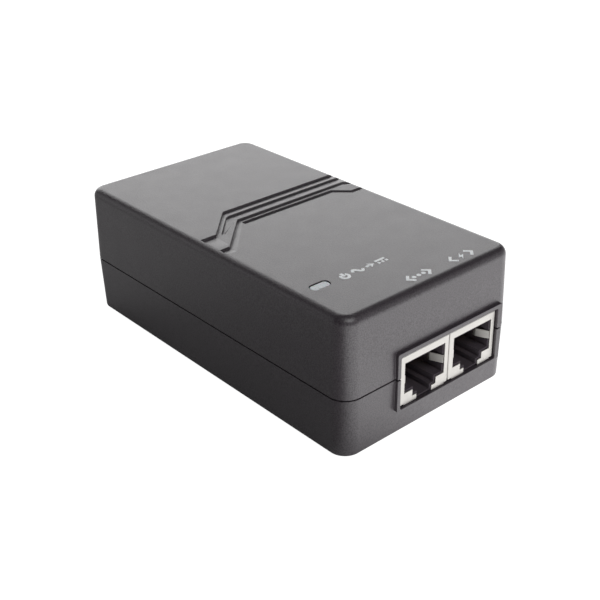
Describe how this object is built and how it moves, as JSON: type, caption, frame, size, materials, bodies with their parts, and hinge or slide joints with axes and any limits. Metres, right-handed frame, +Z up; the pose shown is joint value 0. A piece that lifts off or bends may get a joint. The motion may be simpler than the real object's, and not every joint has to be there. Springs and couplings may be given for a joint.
{
  "type": "poe injector",
  "caption": "Mains-fed box that adds power to a network cable: drafted two-part case, shielded modular data and power jacks in front, AC inlet behind, lamp and stepped grooves on top.",
  "frame": {"origin": "centre of the bottom face, under the middle of the case with both raised rims", "axes": "+Z up, -Y is the face with the two jacks, +Y the face with the AC inlet, +X to the right seen from the jacks"},
  "size_m": [0.055, 0.102, 0.0348],
  "materials": {
    "case_plastic": "fine moulded grain, satin",
    "lens_plastic": "frosted clear moulding",
    "label_film": "matt printed film",
    "screw_steel": "zinc plated",
    "board_laminate": "green solder mask",
    "insulating_card": "smooth card",
    "inlet_plastic": "fine moulded grain",
    "contact_plated": "tin plated brass",
    "fuse_case": "moulded",
    "disc_ceramic_green": "dipped coating",
    "film_capacitor_box": "moulded box",
    "black_plastic": "moulded",
    "ferrite": "sintered",
    "copper_wire": "enamelled copper",
    "can_sleeve": "shrink sleeve",
    "winding_tape": "polyester tape",
    "epoxy_package": "moulded epoxy",
    "heatsink_aluminium": "rolled sheet",
    "white_plastic": "moulded",
    "disc_ceramic_blue": "dipped coating",
    "led_epoxy": "diffused epoxy",
    "jack_plastic": "moulded",
    "shield_steel": "tin plated sheet",
    "contact_gold": "gold flashed bronze"
  },
  "bodies": {
    "case": {"top_cover": "case_plastic", "bottom_case": "case_plastic", "light_pipe": "lens_plastic", "rating_label": "label_film", "case_screws": "screw_steel", "main_board": "board_laminate", "insulation_sheet": "insulating_card", "inlet_housing": "inlet_plastic", "line_pin": "contact_plated", "neutral_pin": "contact_plated", "earth_pin": "contact_plated", "fuse": "fuse_case", "inrush_thermistor": "disc_ceramic_green", "x_capacitor": "film_capacitor_box", "choke_base": "black_plastic", "choke_core": "ferrite", "choke_windings": "copper_wire", "bridge_rectifier": "epoxy_package", "bulk_capacitor": "can_sleeve", "transformer_core": "ferrite", "transformer_bobbin": "black_plastic", "transformer_winding": "winding_tape", "switching_transistor": "epoxy_package", "primary_heatsink": "heatsink_aluminium", "heatsink_screws": "screw_steel", "controller_chip": "epoxy_package", "optocoupler": "white_plastic", "y_capacitor": "disc_ceramic_blue", "output_diode": "epoxy_package", "secondary_heatsink": "heatsink_aluminium", "output_capacitors": "can_sleeve", "inductor_core": "ferrite", "inductor_winding": "copper_wire", "data_transformer": "epoxy_package", "power_led": "led_epoxy", "led_spacer": "white_plastic", "lan_jack_housing": "jack_plastic", "lan_jack_shield": "shield_steel", "lan_contact_leads": "contact_gold", "poe_jack_housing": "jack_plastic", "poe_jack_shield": "shield_steel", "poe_contact_leads": "contact_gold"},
    "lan_springs": {"lan_contact_springs": "contact_gold"},
    "lan_left_finger": {"lan_finger_left": "shield_steel"},
    "lan_right_finger": {"lan_finger_right": "shield_steel"},
    "poe_springs": {"poe_contact_springs": "contact_gold"},
    "poe_left_finger": {"poe_finger_left": "shield_steel"},
    "poe_right_finger": {"poe_finger_right": "shield_steel"}
  },
  "joints": [
    {"name": "lan_springs_lift", "type": "hinge", "parent": "case", "child": "lan_springs", "pos_m": [-0.0026, -0.04775, 0.0183], "axis": [1, 0, 0], "range_deg": [0, 12]},
    {"name": "lan_left_finger_flex", "type": "hinge", "parent": "case", "child": "lan_left_finger", "pos_m": [-0.00895, -0.05017, 0.01355], "axis": [0, 0, 1], "range_deg": [0, 18]},
    {"name": "lan_right_finger_flex", "type": "hinge", "parent": "case", "child": "lan_right_finger", "pos_m": [0.00375, -0.05017, 0.01355], "axis": [0, 0, -1], "range_deg": [0, 18]},
    {"name": "poe_springs_lift", "type": "hinge", "parent": "case", "child": "poe_springs", "pos_m": [0.0135, -0.04775, 0.0183], "axis": [1, 0, 0], "range_deg": [0, 12]},
    {"name": "poe_left_finger_flex", "type": "hinge", "parent": "case", "child": "poe_left_finger", "pos_m": [0.00715, -0.05017, 0.01355], "axis": [0, 0, 1], "range_deg": [0, 18]},
    {"name": "poe_right_finger_flex", "type": "hinge", "parent": "case", "child": "poe_right_finger", "pos_m": [0.01985, -0.05017, 0.01355], "axis": [0, 0, -1], "range_deg": [0, 18]}
  ]
}
